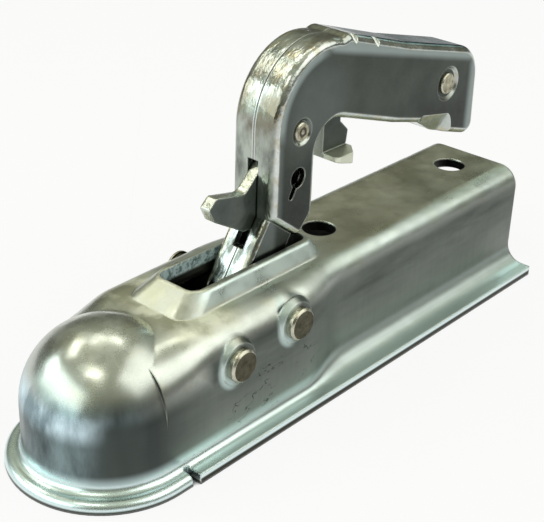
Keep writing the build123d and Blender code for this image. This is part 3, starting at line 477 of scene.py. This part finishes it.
def pin_zinc():
    """Cross pins and rivets: bright turned rims with a painted highlight on their edges, dull brown cut
    ends, brassy on the rivets.
    """
    m = Mat("pin_plate")
    height = m.place[2]
    cloud, _ = zinc_plate(m, (0.66, 0.66, 0.54), (0.50, 0.46, 0.34), (0.44, 0.42, 0.34), 320.0)
    end = m.sideways(0.90, 0.97)
    raw = m.blotches(m.noise(330.0, 5, 0.65), 0.35, 0.65, (0.045, 0.043, 0.024), (0.110, 0.105, 0.066))
    brass = m.blotches(m.noise(500.0, 4, 0.6), 0.38, 0.62, (0.22, 0.20, 0.14), (0.50, 0.48, 0.36))
    m.paint(end, m.mix(m.span(height, 0.045, 0.050), raw, brass))
    # Ring pressed into the neck rivet, with painted shade in its groove
    ring = m.band(m.radial(NECK_RIVET), 0.0014, 0.00030, 0.00035)
    m.paint(m.times(ring, end, 0.9), (0.05, 0.045, 0.035))
    m.bevel(0.0005)
    # Painted highlight along sharp edges
    m.paint(m.times(m.edges(), 0.25), (0.80, 0.80, 0.68))
    m.bump(m.noise(700.0, 3, 0.6), 0.00002)
    m.bump(m.rest(ring), 0.0003)
    return m.finish(m.total(m.span(cloud, 0.3, 0.7, 0.22, 0.34), m.times(end, 0.18)))


def plain_steel(name, light, dark, rough, metallic=1.0):
    """Oiled steel of the hidden parts, with darker blotches."""
    m = Mat(name)
    cloud = m.noise(160.0, 5, 0.6)
    m.colour = m.blotches(cloud, 0.35, 0.65, dark, light)
    m.bevel(0.0004)
    m.bump(m.noise(1500.0, 2, 0.6), 0.00002)
    return m.finish(m.span(cloud, 0.3, 0.7, rough - 0.06, rough + 0.08), metallic)


def assign(material, *names):
    for name in names:
        slots = NODES[name].data.materials
        slots.clear()
        slots.append(material)


assign(housing_zinc(), "body_shell")
assign(lever_zinc(), "lever_shell_left", "lever_shell_right")
assign(catch_zinc(), "catch_plate")
assign(pin_zinc(), "jaw_pin", "lever_pin", "neck_rivet", "grip_rivet")
assign(plain_steel("plain_pin_steel", (0.20, 0.19, 0.16), (0.10, 0.095, 0.08), 0.36),
       "crank_pin", "link_pin", "catch_sleeve", "grip_sleeve", "jaw_sleeve", "lever_sleeve",
       "jaw_spacer_left", "jaw_spacer_right", "lever_spacer_left", "lever_spacer_right")
assign(plain_steel("dark_steel_plate", (0.11, 0.11, 0.10), (0.05, 0.05, 0.045), 0.44), "jaw", "link")
SPRING_STEEL = plain_steel("spring_plate", (0.50, 0.46, 0.38), (0.30, 0.27, 0.21), 0.34, metallic=0.35)
assign(SPRING_STEEL, "main_spring", "catch_spring")


def wire_mesh(name, points, radius):
    """Round wire along these points, with closed ends."""
    path = bpy.data.curves.new(name, "CURVE")
    path.dimensions = "3D"
    path.bevel_depth, path.bevel_resolution, path.use_fill_caps = radius, 5, True
    line = path.splines.new("POLY")
    line.points.add(len(points) - 1)
    for place, point in zip(line.points, points):
        place.co = (*point, 1)
    rod = bpy.data.objects.new(name, path)
    bpy.context.scene.collection.objects.link(rod)
    bpy.context.view_layer.update()
    mesh = bpy.data.meshes.new_from_object(rod.evaluated_get(bpy.context.evaluated_depsgraph_get()))
    bpy.data.objects.remove(rod)
    bpy.data.curves.remove(path)
    mesh.name = name
    mesh.polygons.foreach_set("use_smooth", [True] * len(mesh.polygons))
    return mesh


def torsion_spring():
    """Main spring round the front pin, coiled between its jaw leg and its housing leg."""
    pin_x, pin_z = JAW_PIN
    wire, radius, pitch, turns = 0.0012, 0.00815, 0.00275, 5.25
    first_angle = math.radians(-30)
    jaw_leg, housing_leg = 0.0164, 0.0075
    per_turn = 32
    points = []
    for step in range(round(turns * per_turn) + 1):
        turn = step / per_turn
        angle = first_angle + 2 * math.pi * turn
        points.append(Vector((pin_x + radius * math.cos(angle), pitch * (turns / 2 - turn),
                              pin_z + radius * math.sin(angle))))
    leave, arrive = (points[0] - points[1]).normalized(), (points[-1] - points[-2]).normalized()
    points.insert(0, points[0] + leave * jaw_leg)
    points.append(points[-1] + arrive * housing_leg)
    mesh = wire_mesh("main_spring_coil", points, wire)
    mesh.materials.clear()
    mesh.materials.append(SPRING_STEEL)
    spring = bpy.data.objects.new("main_spring_coil", mesh)
    bpy.context.scene.collection.objects.link(spring)
    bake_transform(spring)
    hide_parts("main_spring")


torsion_spring()

FLOOR_GLOW = 0.88
FLOOR_HALF = 20.0
FLOOR_GAP = 0.0002


def floor_material():
    """Pale floor: most of it glows evenly to the camera and in reflections, the rest takes the shadow."""
    mat = bpy.data.materials.new("floor_pale")
    g = Graph(mat)
    output = g.node("ShaderNodeOutputMaterial")
    diffuse = g.node("ShaderNodeBsdfDiffuse")
    diffuse.inputs[0].default_value = (0.8, 0.8, 0.79, 1)
    glow = g.node("ShaderNodeEmission")
    path = g.node("ShaderNodeLightPath")
    # The glow fades where the floor is closed in, as under the housing
    closed = g.node("ShaderNodeAmbientOcclusion")
    closed.samples = 8
    closed.inputs["Distance"].default_value = 0.2
    g.link(g.span(closed.outputs["AO"], 0.24, 0.46), glow.inputs[1])
    rays = [path.outputs[ray] for ray in ("Is Camera Ray", "Is Glossy Ray", "Is Transmission Ray")]
    blend = g.node("ShaderNodeMixShader")
    g.link(g.times(g.most(*rays), FLOOR_GLOW), blend.inputs[0])
    g.link(diffuse.outputs[0], blend.inputs[1])
    g.link(glow.outputs[0], blend.inputs[2])
    g.link(blend.outputs[0], output.inputs[0])
    return mat


floor_mesh = bpy.data.meshes.new("floor")
floor_z = CAD_BOX[0][2] - FLOOR_GAP
corners = [(x * FLOOR_HALF, y * FLOOR_HALF, floor_z) for x, y in ((-1, -1), (1, -1), (1, 1), (-1, 1))]
floor_mesh.from_pydata(corners, [], [(0, 1, 2, 3)])
floor_mesh.materials.append(floor_material())
floor = bpy.data.objects.new("floor", floor_mesh)
bpy.context.scene.collection.objects.link(floor)

# Dim room: dark near the horizon, lighter overhead
SKY = ((0.0, (0.15, 0.155, 0.13)), (0.30, (0.17, 0.175, 0.14)),
       (0.65, (0.36, 0.37, 0.28)), (1.0, (0.52, 0.53, 0.42)))
world = bpy.data.worlds.new("studio")
bpy.context.scene.world = world
sky = Graph(world)
sky_output = sky.node("ShaderNodeOutputWorld")
sky_light = sky.node("ShaderNodeBackground")
sky_coords = sky.node("ShaderNodeTexCoord")
sky_ramp = sky.node("ShaderNodeValToRGB")
sky.link(sky.split(sky_coords.outputs["Generated"])[2], sky_ramp.inputs[0])
sky.link(sky_ramp.outputs[0], sky_light.inputs[0])
sky.link(sky_light.outputs[0], sky_output.inputs[0])
elements = sky_ramp.color_ramp.elements
while len(elements) < len(SKY):
    elements.new(0.5)
for element, (height, colour) in zip(elements, SKY):
    element.position = height
    element.color = (*colour, 1)

WARM, COOL, PLAIN, BLUE = (1.0, 0.99, 0.88), (0.90, 1.0, 1.0), (1.0, 1.0, 0.96), (0.75, 1.0, 1.0)
LAMP_AIM, LAMP_DISTANCE = Vector((0.06, 0, 0.03)), 1.0


def softbox(name, azimuth, elevation, width, height, radiance, colour):
    """Rectangular lamp seen from the object at these angles, its width and height in degrees."""
    lamp = bpy.data.lights.new(name, "AREA")
    lamp.shape = "RECTANGLE"
    lamp.size = 2 * LAMP_DISTANCE * math.tan(math.radians(width / 2))
    lamp.size_y = 2 * LAMP_DISTANCE * math.tan(math.radians(height / 2))
    lamp.energy = radiance * math.pi * lamp.size * lamp.size_y
    lamp.color = colour
    box = bpy.data.objects.new(name, lamp)
    bpy.context.scene.collection.objects.link(box)
    turn, rise = math.radians(azimuth), math.radians(elevation)
    away = Vector((math.cos(turn) * math.cos(rise), math.sin(turn) * math.cos(rise), math.sin(rise)))
    box.location = LAMP_AIM + away * LAMP_DISTANCE
    box.rotation_euler = (-away).to_track_quat("-Z", "Y").to_euler()


softbox("key_right", -58, 43, 64, 40, 1.45, PLAIN)
softbox("window_left", 158, 24, 66, 28, 2.0, COOL)
softbox("haze_left", 152, 6, 76, 12, 0.75, BLUE)
softbox("window_corner", 123, 24, 16, 16, 2.8, COOL)
softbox("ceiling_back", 108, 51, 26, 12, 2.5, WARM)
softbox("ceiling_a", 72, 65, 14, 9, 4.5, WARM)
softbox("ceiling_b", 27, 66, 14, 9, 4.5, WARM)
softbox("ceiling_left", -166, 58, 20, 12, 3.5, WARM)
softbox("blue_right", 12, 22, 16, 12, 1.3, BLUE)

# Camera solved from the photograph: turn about the target, distance and focal length in pixels
IMAGE_WIDTH, IMAGE_HEIGHT = 544, 522
CENTRE_X, CENTRE_Y, FOCAL_PX = 282.75, 266.48, 1240.56
AZIMUTH, ELEVATION, ROLL = math.radians(-49.95), math.radians(27.94), math.radians(2.36)
TARGET, DISTANCE, SENSOR = Vector((0.09, 0, 0.01644)), 0.47495, 36.0
back = Vector((math.sin(AZIMUTH) * math.cos(ELEVATION), -math.cos(AZIMUTH) * math.cos(ELEVATION),
               math.sin(ELEVATION)))
level = (-back).cross(Vector((0, 0, 1))).normalized()
upright = level.cross(-back)
right = math.cos(ROLL) * level + math.sin(ROLL) * upright
up = -math.sin(ROLL) * level + math.cos(ROLL) * upright
spot = TARGET + back * DISTANCE
lens = bpy.data.cameras.new("camera")
lens.sensor_fit = "HORIZONTAL"
lens.sensor_width = SENSOR
lens.lens = SENSOR * FOCAL_PX / IMAGE_WIDTH
lens.shift_x = (IMAGE_WIDTH / 2 - CENTRE_X) / IMAGE_WIDTH
lens.shift_y = (CENTRE_Y - IMAGE_HEIGHT / 2) / IMAGE_WIDTH
lens.clip_start = 0.01
camera = bpy.data.objects.new("camera", lens)
bpy.context.scene.collection.objects.link(camera)
camera.matrix_world = Matrix(((right.x, up.x, back.x, spot.x), (right.y, up.y, back.y, spot.y),
                              (right.z, up.z, back.z, spot.z), (0, 0, 0, 1)))
bpy.context.scene.camera = camera
bpy.context.scene.view_settings.view_transform = "Standard"

bpy.context.view_layer.update()
